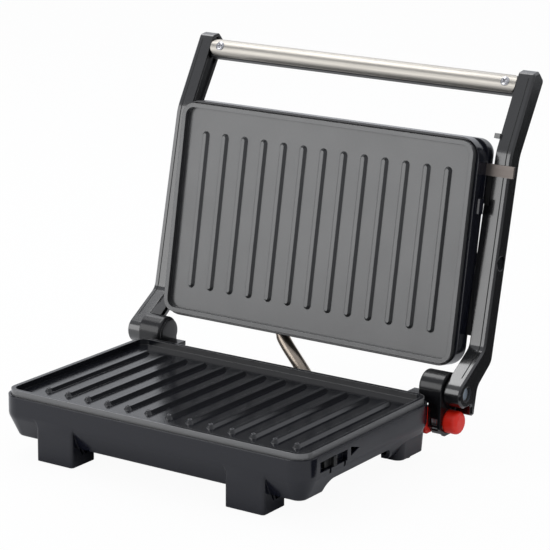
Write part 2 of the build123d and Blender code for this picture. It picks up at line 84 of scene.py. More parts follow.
# Ribs of the lower plate: their number, their spacing, and the middle of their round front ends
RIB_COUNT, RIB_STEP = 13, 0.016
RIB_FRONT = middle("lower_grill_plate").y - 0.0514
RING_WIRE = 0.28
ABOVE_PLATE = 0.3

# Handle bar: its front face leans back, and the screw heads stand on its crown
low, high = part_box("handle_screws")
BAR_LEAN = math.radians(31)
BAR_NORMAL = Vector((0, -math.cos(BAR_LEAN), math.sin(BAR_LEAN)))
HEAD_RADIUS, HEAD_RISE, HEAD_SKIRT = 0.0029, 0.0012, 0.0007
HEAD_START, HEAD_SPAN = math.radians(12), math.radians(70)
HEAD_FOOT, HEAD_BROAD = 1.04 * HEAD_RADIUS, 1.1 * HEAD_RADIUS
RECESS_FLOOR, RECESS_TOP, RECESS_TAPER = -0.3 * HEAD_RISE, 1.3 * HEAD_RISE, 0.75
SCREW_TURNS = (("left", -1, math.radians(8)), ("right", 1, math.radians(47)))
SCREW_X = high.x - HEAD_RADIUS
SCREW_Y = low.y + HEAD_RISE * math.cos(BAR_LEAN) + HEAD_RADIUS * math.sin(BAR_LEAN)
SCREW_Z = high.z - HEAD_RISE * math.sin(BAR_LEAN) - HEAD_RADIUS * math.cos(BAR_LEAN)

# Housing: upright front wall above a knee, and two front feet that run up to it
WALL_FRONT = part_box("lower_housing")[0].y
FOOT_MIDDLE, FOOT_HALF, FOOT_EDGE = 0.0735, 0.0145, 0.002
FAIRING_LOW, KNEE_TOP = 0.0215, 0.0288
FAIRING_DEPTH, FAIRING_SKIN = 0.0036, 0.00002

# Arms: the front line of the arm's side, from the hinge boss to the handle
ARM_OUT, ARM_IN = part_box("arm_right")[1].x, 0.1215
ARM_FRONT = ((0.0277, 0.0486), (0.0588, 0.0681), (0.0866, 0.1917), (0.1144, 0.2397))
ARM_BENDS = (0.009, 0.034)
BEND_STEPS = 8

# Arm trim: the seam lies in from the arm's side, and a near-black sheet paints the shade in the gap
# beside the plate
SEAM_INSET, SEAM_SKIN = 0.0034, 0.00005
SEAM_START, SEAM_END = 0.3, 0.06
GAP_SHADE_IN, GAP_SHADE_LAP = 0.1177, 0.0002
GAP_SHADE_FRONT, GAP_SHADE_BACK = -0.0005, 0.0022
GAP_SHADE_START, GAP_SHADE_END = 0.03, 0.98

# Hinge towers: inner face, the middle of their round tops, and the caps in them
TOWER_INNER = 0.1035
TOWER_MIDDLE = (0.0369, 0.0452)
CAP_RADIUS, CAP_RISE, CAP_EDGE, CAP_ROOT = 0.009, 0.0007, 0.0006, 0.0003
CAP_CROWN = 0.0002

# Conduit: the route of its middle line, straight at both ends
CONDUIT_ROUTE = (
    (0.019, 0.0211, 0.029), (0.019, 0.026, 0.029), (0.019, 0.032, 0.029), (0.005, 0.039, 0.038),
    (-0.0285, 0.065, 0.0475), (-0.0285, 0.0658, 0.0515), (-0.0285, 0.0669, 0.0579),
)
CONDUIT_RADIUS = 0.0045
CONDUIT_SIDES, WINDING_STEPS = 28, 6

# Soft boxes of the studio: name, place, size and power
SOFT_BOXES = (
    ("Key box", (-0.86, -1.34, 0.5), (1.2, 1.0), 8.4),
    ("Overhead box", (-0.52, 0.06, 1.1), (0.6, 0.5), 3.4),
    ("Back box", (-0.86, 0.9, 1.2), (0.8, 0.5), 2.2),
)
LIGHT_AIM = (0, 0, 0.1)

# A dark card on the floor that only reflections see
CARD_SIZE, CARD_PLACE = 1.4, (0.88, 0.6, 0.0005)


# Shader helpers
def new_group(name, inputs, outputs):
    """Start a node group; inputs and outputs are (name, kind, default) rows."""
    group = bpy.data.node_groups.new(name, "ShaderNodeTree")
    kinds = {"value": "NodeSocketFloat", "colour": "NodeSocketColor", "vector": "NodeSocketVector"}
    for label, kind, default in inputs:
        socket = group.interface.new_socket(name=label, in_out="INPUT", socket_type=kinds[kind])
        socket.default_value = default
    for label, kind in outputs:
        group.interface.new_socket(name=label, in_out="OUTPUT", socket_type=kinds[kind])
    nodes = group.nodes
    return group, nodes, group.links, nodes.new("NodeGroupInput"), nodes.new("NodeGroupOutput")


def math_node(nodes, links, operation, first, second):
    """Join two sockets or numbers by one sum."""
    node = nodes.new("ShaderNodeMath")
    node.operation = operation
    for slot, value in ((0, first), (1, second)):
        if isinstance(value, (int, float)):
            node.inputs[slot].default_value = value
        else:
            links.new(value, node.inputs[slot])
    return node.outputs[0]


def mix_colour(nodes, links, factor, first, second):
    """Blend two colours by a factor."""
    node = nodes.new("ShaderNodeMix")
    node.data_type = "RGBA"
    for slot, value in ((0, factor), (6, first), (7, second)):
        if isinstance(value, (int, float)):
            node.inputs[slot].default_value = value
        elif isinstance(value, tuple):
            node.inputs[slot].default_value = value
        else:
            links.new(value, node.inputs[slot])
    return node.outputs[2]


def build_moulded():
    """Fine moulded texture: soft mottling of colour, gloss and height."""
    group, nodes, links, start, end = new_group(
        "Moulded surface",
        [
            ("Colour", "colour", (0.1, 0.1, 0.1, 1.0)),
            ("Mottle", "value", 0.1),
            ("Roughness", "value", 0.3),
            ("Roughness spread", "value", 0.05),
            ("Grain size", "value", 900.0),
        ],
        [("Colour", "colour"), ("Roughness", "value"), ("Height", "value")],
    )
    place = nodes.new("ShaderNodeTexCoord")
    broad = nodes.new("ShaderNodeTexNoise")
    broad.inputs["Scale"].default_value = 55.0
    broad.inputs["Detail"].default_value = 4.0
    fine = nodes.new("ShaderNodeTexNoise")
    fine.inputs["Detail"].default_value = 2.0
    links.new(place.outputs["Object"], broad.inputs["Vector"])
    links.new(place.outputs["Object"], fine.inputs["Vector"])
    links.new(start.outputs["Grain size"], fine.inputs["Scale"])
    swing = math_node(nodes, links, "SUBTRACT", broad.outputs["Fac"], 0.5)
    shade = math_node(nodes, links, "MULTIPLY", swing, start.outputs["Mottle"])
    gain = math_node(nodes, links, "ADD", shade, 1.0)
    tint = nodes.new("ShaderNodeVectorMath")
    tint.operation = "SCALE"
    links.new(start.outputs["Colour"], tint.inputs[0])
    links.new(gain, tint.inputs["Scale"])
    links.new(tint.outputs[0], end.inputs["Colour"])
    spread = math_node(nodes, links, "MULTIPLY", swing, start.outputs["Roughness spread"])
    links.new(
        math_node(nodes, links, "ADD", start.outputs["Roughness"], spread),
        end.inputs["Roughness"],
    )
    links.new(fine.outputs["Fac"], end.inputs["Height"])
    return group


def build_brushed():
    """Long fine scratches along X, as on brushed steel."""
    group, nodes, links, start, end = new_group(
        "Brushed streaks",
        [
            ("Roughness", "value", 0.3),
            ("Roughness spread", "value", 0.2),
            ("Streak size", "value", 900.0),
        ],
        [("Roughness", "value"), ("Height", "value")],
    )
    place = nodes.new("ShaderNodeTexCoord")
    squeeze = nodes.new("ShaderNodeVectorMath")
    squeeze.operation = "MULTIPLY"
    squeeze.inputs[1].default_value = (0.02, 1.0, 1.0)
    links.new(place.outputs["Object"], squeeze.inputs[0])
    streaks = nodes.new("ShaderNodeTexNoise")
    streaks.inputs["Detail"].default_value = 3.0
    links.new(squeeze.outputs[0], streaks.inputs["Vector"])
    links.new(start.outputs["Streak size"], streaks.inputs["Scale"])
    swing = math_node(nodes, links, "SUBTRACT", streaks.outputs["Fac"], 0.5)
    spread = math_node(nodes, links, "MULTIPLY", swing, start.outputs["Roughness spread"])
    links.new(
        math_node(nodes, links, "ADD", start.outputs["Roughness"], spread),
        end.inputs["Roughness"],
    )
    links.new(streaks.outputs["Fac"], end.inputs["Height"])
    return group


def build_coated():
    """Non-stick coating: tiny pits and specks over a cast surface, and a lighter band along the
    plate's outer edge as a painted highlight.
    """
    group, nodes, links, start, end = new_group(
        "Coated casting",
        [
            ("Colour", "colour", (0.1, 0.1, 0.1, 1.0)),
            ("Speck colour", "colour", (0.2, 0.2, 0.2, 1.0)),
            ("Speck amount", "value", 0.3),
            ("Rim highlight colour", "colour", (0.3, 0.3, 0.3, 1.0)),
            ("Plate place", "vector", (0.0, 0.0, 0.0)),
            ("Half width", "value", 0.115),
            ("Half depth", "value", 0.0725),
            ("Corner", "value", 0.009),
            ("Rim skin", "value", 0.0004),
            ("Roughness", "value", 0.35),
            ("Roughness spread", "value", 0.1),
        ],
        [("Colour", "colour"), ("Roughness", "value"), ("Height", "value")],
    )
    place = nodes.new("ShaderNodeTexCoord")
    specks = nodes.new("ShaderNodeTexNoise")
    specks.inputs["Scale"].default_value = 1500.0
    specks.inputs["Detail"].default_value = 2.0
    broad = nodes.new("ShaderNodeTexNoise")
    broad.inputs["Scale"].default_value = 40.0
    for texture in (specks, broad):
        links.new(place.outputs["Object"], texture.inputs["Vector"])
    pick = nodes.new("ShaderNodeMapRange")
    pick.inputs["From Min"].default_value = 0.52
    pick.inputs["From Max"].default_value = 0.75
    links.new(specks.outputs["Fac"], pick.inputs["Value"])
    amount = math_node(nodes, links, "MULTIPLY", pick.outputs[0], start.outputs["Speck amount"])
    coat = mix_colour(nodes, links, amount, start.outputs["Colour"], start.outputs["Speck colour"])
    parts = nodes.new("ShaderNodeSeparateXYZ")
    links.new(start.outputs["Plate place"], parts.inputs[0])
    squares = []
    for axis, half in ((0, "Half width"), (1, "Half depth")):
        reach = math_node(nodes, links, "ABSOLUTE", parts.outputs[axis], 0.0)
        straight = math_node(nodes, links, "SUBTRACT", start.outputs[half], start.outputs["Corner"])
        past = math_node(nodes, links, "SUBTRACT", reach, straight)
        past = math_node(nodes, links, "MAXIMUM", past, 0.0)
        squares.append(math_node(nodes, links, "MULTIPLY", past, past))
    both = math_node(nodes, links, "ADD", squares[0], squares[1])
    out = math_node(nodes, links, "SQRT", both, 0.0)
    # Within the rim skin of the outline the rim colour takes over: a painted highlight along the
    # plate's outer edge.
    edge = math_node(nodes, links, "SUBTRACT", start.outputs["Corner"], start.outputs["Rim skin"])
    rim_highlight = math_node(nodes, links, "GREATER_THAN", out, edge)
    final = mix_colour(nodes, links, rim_highlight, coat, start.outputs["Rim highlight colour"])
    links.new(final, end.inputs["Colour"])
    swing = math_node(nodes, links, "SUBTRACT", broad.outputs["Fac"], 0.5)
    spread = math_node(nodes, links, "MULTIPLY", swing, start.outputs["Roughness spread"])
    links.new(
        math_node(nodes, links, "ADD", start.outputs["Roughness"], spread),
        end.inputs["Roughness"],
    )
    links.new(specks.outputs["Fac"], end.inputs["Height"])
    return group


GROUPS = {
    "moulded": build_moulded(),
    "brushed": build_brushed(),
    "coated": build_coated(),
}


def place_group(material, kind, values):
    """Put a shared group in a material and set its inputs."""
    node = material.node_tree.nodes.new("ShaderNodeGroup")
    node.node_tree = GROUPS[kind]
    for name, value in values.items():
        node.inputs[name].default_value = value
    return node


def start_material(name, metallic=0.0, coat=0.0, coat_roughness=0.05, specular=0.5):
    """A material with one Principled shader and its plain numbers set."""
    material = bpy.data.materials.new(name)
    material.use_nodes = True
    shader = material.node_tree.nodes["Principled BSDF"]
    shader.inputs["Metallic"].default_value = metallic
    shader.inputs["Coat Weight"].default_value = coat
    shader.inputs["Coat Roughness"].default_value = coat_roughness
    shader.inputs["Specular IOR Level"].default_value = specular
    return material, shader


def add_bump(material, shader, height, strength, distance, edge=0.0):
    """Feed a height into the shader's normal, over edges rounded by a radius."""
    bump = material.node_tree.nodes.new("ShaderNodeBump")
    if edge:
        rounded = material.node_tree.nodes.new("ShaderNodeBevel")
        rounded.samples = 6
        rounded.inputs["Radius"].default_value = edge
        material.node_tree.links.new(rounded.outputs["Normal"], bump.inputs["Normal"])
    bump.inputs["Strength"].default_value = strength
    bump.inputs["Distance"].default_value = distance
    material.node_tree.links.new(height, bump.inputs["Height"])
    material.node_tree.links.new(bump.outputs["Normal"], shader.inputs["Normal"])


def moulded(name, colour, roughness, grain=0.12, coat=0.0, specular=0.5, edge=MOULDED_EDGE):
    """Moulded plastic or rubber, with its edges softened by a radius."""
    material, shader = start_material(name, coat=coat, specular=specular)
    links = material.node_tree.links
    surface = place_group(
        material, "moulded",
        {"Colour": colour, "Mottle": 0.16, "Roughness": roughness, "Roughness spread": 0.12},
    )
    links.new(surface.outputs["Colour"], shader.inputs["Base Color"])
    links.new(surface.outputs["Roughness"], shader.inputs["Roughness"])
    add_bump(material, shader, surface.outputs["Height"], grain, MOULDED_GRAIN, edge)
    return material


def steel(name, colour, roughness, spread=0.2, grain=0.15, size=900.0):
    """Brushed or drawn metal."""
    material, shader = start_material(name, metallic=1.0)
    shader.inputs["Base Color"].default_value = colour
    links = material.node_tree.links
    surface = place_group(
        material, "brushed",
        {"Roughness": roughness, "Roughness spread": spread, "Streak size": size},
    )
    links.new(surface.outputs["Roughness"], shader.inputs["Roughness"])
    add_bump(material, shader, surface.outputs["Height"], grain, DRAWN_GRAIN)
    return material


def coated(name, node, tilt, colour, speck, rim_highlight, roughness, specular, coat=0.0, amount=0.35):
    """Cast plate with a non-stick coating and a painted highlight along its outer edge; tilt turns
    the plate's face up.
    """
    material, shader = start_material(name, coat=coat, coat_roughness=0.2, specular=specular)
    nodes, links = material.node_tree.nodes, material.node_tree.links
    place = nodes.new("ShaderNodeTexCoord")
    level = nodes.new("ShaderNodeMapping")
    level.vector_type = "TEXTURE"
    level.inputs["Location"].default_value = middle(node)
    level.inputs["Rotation"].default_value = (tilt, 0, 0)
    links.new(place.outputs["Object"], level.inputs["Vector"])
    surface = place_group(
        material, "coated",
        {
            "Colour": colour, "Speck colour": speck, "Speck amount": amount, "Rim highlight colour": rim_highlight,
            "Half width": PLATE_WIDTH / 2, "Half depth": PLATE_DEPTH / 2,
            "Corner": PLATE_CORNER, "Rim skin": RIM_SKIN,
            "Roughness": roughness, "Roughness spread": 0.1,
        },
    )
    links.new(level.outputs[0], surface.inputs["Plate place"])
    links.new(surface.outputs["Colour"], shader.inputs["Base Color"])
    links.new(surface.outputs["Roughness"], shader.inputs["Roughness"])
    add_bump(material, shader, surface.outputs["Height"], 0.12, MOULDED_GRAIN, CAST_EDGE)
    return material


def grey(value, blue=0.0):
    """A linear colour near grey."""
    return (value, value, value + blue, 1.0)


def make_finishes(colours):
    """One material for each of the record's slots."""
    return {
        "housing_black": moulded("Housing plastic", colours.housing, 0.16, grain=0.04),
        "tower_black": moulded("Hinge plastic", colours.hinges, 0.22, grain=0.05),
        "arm_black": moulded(
            "Arm plastic", colours.arms, 0.17, grain=0.03, coat=0.4, specular=1.0,
        ),
        "handle_black": moulded("Handle core plastic", grey(0.014), 0.45),
        "latch_black": moulded("Latch plastic", grey(0.004), 0.5),
        "handle_steel": steel("Handle steel", colours.handle, 0.38, spread=0.25),
        "bright_screw": steel("Bright screw", (0.5, 0.5, 0.52, 1), 0.25, spread=0.1),
        "pin_steel": steel("Pin steel", (0.55, 0.63, 0.7, 1), 0.6),
        "spring_steel": steel("Spring steel", (0.45, 0.45, 0.46, 1), 0.3),
        "element_steel": steel("Element sheath", (0.2, 0.18, 0.17, 1), 0.5),
        "reflector_sheet": steel("Reflector sheet", (0.6, 0.6, 0.6, 1), 0.4),
        "conduit_steel": steel("Conduit steel", (0.36, 0.31, 0.26, 1), 0.32),
        "ferrule_steel": steel("Ferrule steel", (0.4, 0.4, 0.42, 1), 0.35),
        "tab_steel": steel("Tab steel", (0.2, 0.175, 0.16, 1), 0.5),
        # Each plate's third colour is the painted highlight along its outer edge.
        "upper_plate_cast": coated(
            "Upper plate coating", "upper_grill_plate", math.pi / 2 - PLATE_LEAN,
            colours.upper_plate, grey(0.06), grey(0.06), 0.3, 0.9, coat=0.3,
        ),
        "lower_plate_cast": coated(
            "Lower plate coating", "lower_grill_plate", 0.0,
            colours.lower_plate, grey(0.03), grey(0.15), 0.15, 0.7,
        ),
        "inner_ceramic": moulded("Inner ceramic", (0.7, 0.67, 0.6, 1), 0.6),
        "gland_rubber": moulded("Gland rubber", grey(0.01), 0.6),
        "foot_rubber": moulded("Foot rubber", grey(0.02), 0.7),
        "knob_red": moulded("Knob red", colours.knob, 0.42, grain=0.05, edge=KNOB_EDGE),
        "lamp_lens": moulded("Lamp lens", (0.5, 0.03, 0.01, 1), 0.15, coat=0.5),
    }


FINISHES = {}


# Mesh helpers
def keep_piece(name, bm, body, slot, material=None):
    """Turn a bmesh into a finished object that rides on a body, or on none yet."""
    bmesh.ops.recalc_face_normals(bm, faces=bm.faces)
    mesh = bpy.data.meshes.new(name)
    bm.to_mesh(mesh)
    bm.free()
    mesh.polygons.foreach_set("use_smooth", [True] * len(mesh.polygons))
    mesh.set_sharp_from_angle(angle=math.radians(32))
    mesh.materials.append(material or FINISHES[slot])
    piece = bpy.data.objects.new(name, mesh)
    bpy.context.scene.collection.objects.link(piece)
    if body:
        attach(piece, body)
    return piece


def loft(bm, rings):
    """Skin closed rings of like counts, and cap both ends."""
    rows = [[bm.verts.new(point) for point in ring] for ring in rings]
    count = len(rows[0])
    for first, second in zip(rows, rows[1:]):
        for i in range(count):
            j = (i + 1) % count
            bm.faces.new((first[i], first[j], second[j], second[i]))
    bm.faces.new(rows[0])
    bm.faces.new(rows[-1])


def lathe(bm, profile, place, segments=40):
    """Turn a (radius, height) profile about the Z axis of a matrix."""
    rings = []
    turn = [2 * math.pi * i / segments for i in range(segments)]
    for radius, height in profile:
        rings.append([
            place @ Vector((radius * math.cos(a), radius * math.sin(a), height)) for a in turn
        ])
    loft(bm, rings)


def bent_line(points, bends, steps=BEND_STEPS):
    """Points of a flat line whose inner corners are arcs of the given radii."""
    line = [Vector(points[0])]
    for before, corner, after, radius in zip(points, points[1:], points[2:], bends):
        corner = Vector(corner)
        back, ahead = (Vector(before) - corner).normalized(), (Vector(after) - corner).normalized()
        half = back.angle(ahead) / 2
        centre = corner + (back + ahead).normalized() * radius / math.sin(half)
        reach = radius / math.tan(half)
        first = (corner + back * reach - centre).normalized()
        last = (corner + ahead * reach - centre).normalized()
        for i in range(steps + 1):
            line.append(centre + first.slerp(last, i / steps) * radius)
    line.append(Vector(points[-1]))
    return line


def arm_strip(bm, line, x0, x1, outside, inside):
    """A strip that follows the arm's front line, from one depth to another."""
    rings = []
    for i, point in enumerate(line):
        ahead = (line[min(i + 1, len(line) - 1)] - line[max(i - 1, 0)]).normalized()
        front = Vector((-ahead.y, ahead.x))
        near, far = point + front * outside, point - front * inside
        rings.append([(x0, *near), (x1, *near), (x1, *far), (x0, *far)])
    loft(bm, rings)


def colour_property(name, description, default):
    """A linear colour that a user may change."""
    return bpy.props.FloatVectorProperty(
        name=name, description=description, default=default, size=4, min=0.0, max=1.0,
        precision=4, subtype="COLOR",
    )


class FinishColours(bpy.types.PropertyGroup):
    """Colours of the main finishes."""

    housing: colour_property("Housing", "Plastic of the housings", (0.004, 0.0047, 0.0095, 1))
    hinges: colour_property("Hinges", "Plastic of the hinge towers", grey(0.006, 0.001))
    arms: colour_property("Arms", "Plastic of the two arms", grey(0.004, 0.0005))
    handle: colour_property("Handle", "Brushed steel of the handle", (0.4, 0.38, 0.345, 1))
    upper_plate: colour_property(
        "Upper plate", "Coating of the upper plate", (0.03, 0.031, 0.032, 1),
    )
    lower_plate: colour_property(
        "Lower plate", "Coating of the lower plate", (0.005, 0.0055, 0.008, 1),
    )
    # Lighter than the lower plate: a painted highlight on the round rib ends.
    ring: colour_property("Rings", "Coating of the rings on the ribs", (0.05, 0.05, 0.056, 1))
    knob: colour_property("Knob", "Plastic of the release knob", (0.9, 0.02, 0.006, 1))


class StudioSettings(bpy.types.PropertyGroup):
    """Camera and light values of the studio."""

    azimuth: bpy.props.FloatProperty(
        name="Azimuth", description="Turn of the camera to the right of the front",
        default=math.radians(34.108), subtype="ANGLE",
    )
    elevation: bpy.props.FloatProperty(
        name="Elevation", description="Camera angle above the table",
        default=math.radians(14.939), subtype="ANGLE",
    )
    roll: bpy.props.FloatProperty(
        name="Roll", description="Tilt of the camera about its own axis",
        default=math.radians(0.39), subtype="ANGLE",
    )
    place: bpy.props.FloatVectorProperty(
        name="Camera place", description="Where the camera stands",
        default=(0.88677, -1.29556, 0.52896), unit="LENGTH",
    )
    lens: bpy.props.FloatProperty(
        name="Lens", description="Focal length in millimetres on a 36 mm sensor",
        default=163.705,
    )
    light: bpy.props.FloatProperty(
        name="Light", description="Level of all the soft boxes together", default=1.0, min=0.0,
    )
    floor_lift: bpy.props.FloatProperty(
        name="Floor lift", description="How far the floor is lifted to white for the camera",
        default=0.95, min=0.0, max=1.0, subtype="FACTOR",
    )


class PieceSizes(bpy.types.PropertyGroup):
    """Sizes of the small pieces that a user may change."""

    winding_pitch: bpy.props.FloatProperty(
        name="Winding pitch", description="Length of one winding of the conduit",
        default=0.0016, unit="LENGTH", precision=5,
    )
    winding_depth: bpy.props.FloatProperty(
        name="Winding depth", description="Depth of the groove between two windings",
        default=0.0005, unit="LENGTH", precision=5,
    )
    recess_width: bpy.props.FloatProperty(
        name="Recess width", description="Width of one slot of a screw's cross recess",
        default=0.0011, unit="LENGTH", precision=5,
    )
    recess_length: bpy.props.FloatProperty(
        name="Recess length", description="Length of one slot of a screw's cross recess",
        default=0.0042, unit="LENGTH", precision=5,
    )
    seam_width: bpy.props.FloatProperty(
        name="Seam width", description="Width of the seam along each arm",
        default=0.0007, unit="LENGTH", precision=5,
    )
    ring_radius: bpy.props.FloatProperty(
        name="Ring radius", description="Radius of the ring at the front end of a rib",
        default=0.0011, unit="LENGTH", precision=5,
    )
    flare: bpy.props.FloatProperty(
        name="Foot flare", description="Radius by which a front foot widens into the wall",
        default=0.007, unit="LENGTH", precision=5,
    )


class GRILL_OT_finishes(bpy.types.Operator):
    """Give every carried-over part its finish"""

    bl_idname = "grill.finishes"
    bl_label = "Part finishes"

    def execute(self, context):
        FINISHES.update(make_finishes(context.scene.grill_colours))
        slots = {row["node"]: row["material_slot"] for row in frame["record"]["subparts"]}
        for name, node in NODES.items():
            node.data.materials.clear()
            node.data.materials.append(FINISHES[slots[name]])
        # The pivot pin heads are darkened to near black as painted shade of the holes they sit in.
        dark_pin = steel("Pivot pin shaded steel", (0.06, 0.065, 0.07, 1), 0.3)
        for name in ("pivot_pin_left", "pivot_pin_right"):
            NODES[name].data.materials[0] = dark_pin
        return {"FINISHED"}


class GRILL_OT_foot_fairings(bpy.types.Operator):
    """Run the front feet up to the knee of the housing wall"""

    bl_idname = "grill.foot_fairings"
    bl_label = "Foot fairings"

    def execute(self, context):
        flare = context.scene.grill_sizes.flare
        colour = context.scene.grill_colours.housing
        front, back = WALL_FRONT - FAIRING_SKIN, WALL_FRONT + FAIRING_DEPTH
        steps = 10
        corner = [math.pi / 2 * i / 5 for i in range(6)]
        round_off = [
            (FOOT_EDGE * (1 - math.cos(a)), front + FOOT_EDGE * (1 - math.sin(a))) for a in corner
        ]
        plain = moulded("Fairing plastic", colour, 0.16, grain=0.04, edge=0.0)
        for side, word in ((-1, "left"), (1, "right")):
            rings = []
            for i in range(steps + 1):
                z = FAIRING_LOW + (KNEE_TOP - FAIRING_LOW) * i / steps
                rise = max(0.0, z - (KNEE_TOP - flare))
                half = FOOT_HALF + flare - math.sqrt(flare ** 2 - rise ** 2)
                right = [(half, back), *[(half - inset, y) for inset, y in round_off]]
                outline = [*right, *[(-x, y) for x, y in reversed(right)]]
                rings.append([(side * FOOT_MIDDLE + x, y, z) for x, y in outline])
            bm = bmesh.new()
            loft(bm, rings)
            keep_piece(f"foot_fairing_{word}", bm, "base", "housing_black", plain)
        return {"FINISHED"}


class GRILL_OT_rib_rings(bpy.types.Operator):
    """Small raised rings on the front ends of the lower plate's ribs, lighter than the plate as a
    painted highlight
    """

    bl_idname = "grill.rib_rings"
    bl_label = "Rib rings"

    def execute(self, context):
        radius = context.scene.grill_sizes.ring_radius
        wire = radius * RING_WIRE
        profile = [(radius + wire, -wire)]
        for i in range(7):
            angle = math.pi * i / 6
            profile.append((radius + wire * math.cos(angle), wire * math.sin(angle)))
        profile.append((radius - wire, -wire))
        plate = bpy.data.objects["lower_grill_plate"]
        inward = plate.matrix_world.inverted()
        down = inward.to_3x3() @ Vector((0, 0, -1))
        bm = bmesh.new()
        for i in range(RIB_COUNT):
            x = RIB_STEP * (i - (RIB_COUNT - 1) / 2)
            above = inward @ Vector((x, RIB_FRONT, ABOVE_PLATE))
            found, spot, _, _ = plate.ray_cast(above, down)
            if not found:
                raise RuntimeError("no rib was found below a ring")
            lathe(bm, profile, Matrix.Translation(plate.matrix_world @ spot))
        # The lighter coating of the rings is a painted highlight on the round front ends of the
        # ribs.
        ring = coated(
            "Rib ring glint coating", "lower_grill_plate", 0.0,
            context.scene.grill_colours.ring, grey(0.1), grey(0.15), 0.3, 0.8,
        )
        keep_piece("rib_rings", bm, "base", "lower_plate_cast", ring)
        return {"FINISHED"}


class GRILL_OT_arm_trim(bpy.types.Operator):
    """Lay the seam along each arm and fill the gap beside the upper plate with a near-black sheet
    as painted shade
    """

    bl_idname = "grill.arm_trim"
    bl_label = "Arm seams and webs"

    def execute(self, context):
        width = context.scene.grill_sizes.seam_width
        line = bent_line(ARM_FRONT, ARM_BENDS)
        first, last = line[0].lerp(line[1], SEAM_START), line[-1].lerp(line[-2], SEAM_END)
        seam_line = [first, *line[1:-1], last]
        low_end, high_end = line[BEND_STEPS + 1], line[BEND_STEPS + 2]
        gap_shade_line = [low_end.lerp(high_end, share) for share in (GAP_SHADE_START, GAP_SHADE_END)]
        seam = moulded("Seam shadow", grey(0.001), 0.6, edge=0.0)
        seam_out = ARM_OUT - SEAM_INSET
        for side, word in ((-1, "left"), (1, "right")):
            bm = bmesh.new()
            seam_in = seam_out - width
            arm_strip(bm, seam_line, side * seam_in, side * seam_out, SEAM_SKIN, SEAM_SKIN)
            keep_piece(f"arm_seam_{word}", bm, "handle_frame", "arm_black", seam)
            # A near-black sheet in the gap beside the upper plate: painted shade.
            bm = bmesh.new()
            gap_shade_out = ARM_IN + GAP_SHADE_LAP
            arm_strip(bm, gap_shade_line, side * GAP_SHADE_IN, side * gap_shade_out, GAP_SHADE_FRONT, GAP_SHADE_BACK)
            keep_piece(f"arm_gap_shade_{word}", bm, "handle_frame", "arm_black", seam)
        return {"FINISHED"}


class GRILL_OT_hinge_caps(bpy.types.Operator):
    """Smooth caps over the inner ends of the hinge pins"""

    bl_idname = "grill.hinge_caps"
    bl_label = "Hinge caps"

    def execute(self, context):
        shoulder, flat = CAP_RADIUS - CAP_EDGE, CAP_RISE - CAP_EDGE
        profile = [(CAP_RADIUS, -CAP_ROOT), (CAP_RADIUS, flat)]
        for i in range(1, 5):
            angle = math.pi / 2 * i / 4
            profile.append((
                shoulder + CAP_EDGE * math.cos(angle),
                flat + CAP_EDGE * math.sin(angle),
            ))
        profile.append((CAP_RADIUS / 2, CAP_RISE + CAP_CROWN))
        for side, word in ((-1, "left"), (1, "right")):
            place = Matrix.Translation((side * TOWER_INNER, *TOWER_MIDDLE))
            place = place @ Matrix.Rotation(-side * math.pi / 2, 4, "Y")
            bm = bmesh.new()
            lathe(bm, profile, place)
            keep_piece(f"hinge_cap_{word}", bm, "base", "tower_black")
        return {"FINISHED"}


class GRILL_OT_handle_screws(bpy.types.Operator):
    """Pan head screws with a cross recess in the handle"""

    bl_idname = "grill.handle_screws"
    bl_label = "Handle screws"

    def execute(self, context):
        sizes = context.scene.grill_sizes
        long, wide = sizes.recess_length / 2, sizes.recess_width / 2
        profile = [(HEAD_FOOT, -HEAD_SKIRT)]
        for i in range(7):
            angle = HEAD_START + HEAD_SPAN * i / 6
            profile.append((
                HEAD_BROAD * math.cos(angle) / math.cos(HEAD_START),
                HEAD_RISE * math.sin(angle),
            ))
        tilt = BAR_NORMAL.to_track_quat("Z", "Y").to_matrix().to_4x4()
        for word, side, spin in SCREW_TURNS:
            place = Matrix.Translation((side * SCREW_X, SCREW_Y, SCREW_Z)) @ tilt
            place = place @ Matrix.Rotation(spin, 4, "Z")
            bm = bmesh.new()
            lathe(bm, profile, place)
            head = keep_piece(f"handle_screw_{word}", bm, None, "bright_screw")
            bm = bmesh.new()
            for x, y in ((long, wide), (wide, long)):
                corners = [(-x, -y), (x, -y), (x, y), (-x, y)]
                rings = [
                    [place @ Vector((a * tight, b * tight, z)) for a, b in corners]
                    for tight, z in ((RECESS_TAPER, RECESS_FLOOR), (1.0, RECESS_TOP))
                ]
                loft(bm, rings)
            cutter = keep_piece(f"cross_cutter_{word}", bm, None, "bright_screw")
            cut = head.modifiers.new("Cross", "BOOLEAN")
            cut.object = cutter
            cut.use_self = True
            whole = head.evaluated_get(context.evaluated_depsgraph_get())
            mesh = bpy.data.meshes.new_from_object(whole)
            head.modifiers.clear()
            head.data = mesh
            bpy.data.objects.remove(cutter)
            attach(head, "handle_frame")
            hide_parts("handle_screws")
        return {"FINISHED"}


def spline_points(points):
    """Points along a smooth curve that has these as its control points."""
    data = bpy.data.curves.new("Route", "CURVE")
    data.dimensions = "3D"
    data.resolution_u = 24
    spline = data.splines.new("NURBS")
    spline.points.add(len(points) - 1)
    for spot, point in zip(spline.points, points):
        spot.co = (*point, 1.0)
    spline.order_u = 3
    spline.use_endpoint_u = True
    route = bpy.data.objects.new("Route", data)
    bpy.context.scene.collection.objects.link(route)
    shaped = route.evaluated_get(bpy.context.evaluated_depsgraph_get())
    mesh = bpy.data.meshes.new_from_object(shaped)
    found = [vertex.co.copy() for vertex in mesh.vertices]
    bpy.data.objects.remove(route)
    bpy.data.meshes.remove(mesh)
    return found


def even_points(points, step):
    """The same line, walked in even steps; gives (distance, point, direction)."""
    stations, walked, target = [], 0.0, 0.0
    for first, second in zip(points, points[1:]):
        span = (second - first).length
        while span > 0 and target <= walked + span:
            stations.append((target, first.lerp(second, (target - walked) / span)))
            target += step
        walked += span
    rows = []
    for i, (distance, point) in enumerate(stations):
        ahead = stations[min(i + 1, len(stations) - 1)][1] - stations[max(i - 1, 0)][1]
        rows.append((distance, point, ahead.normalized()))
    return rows


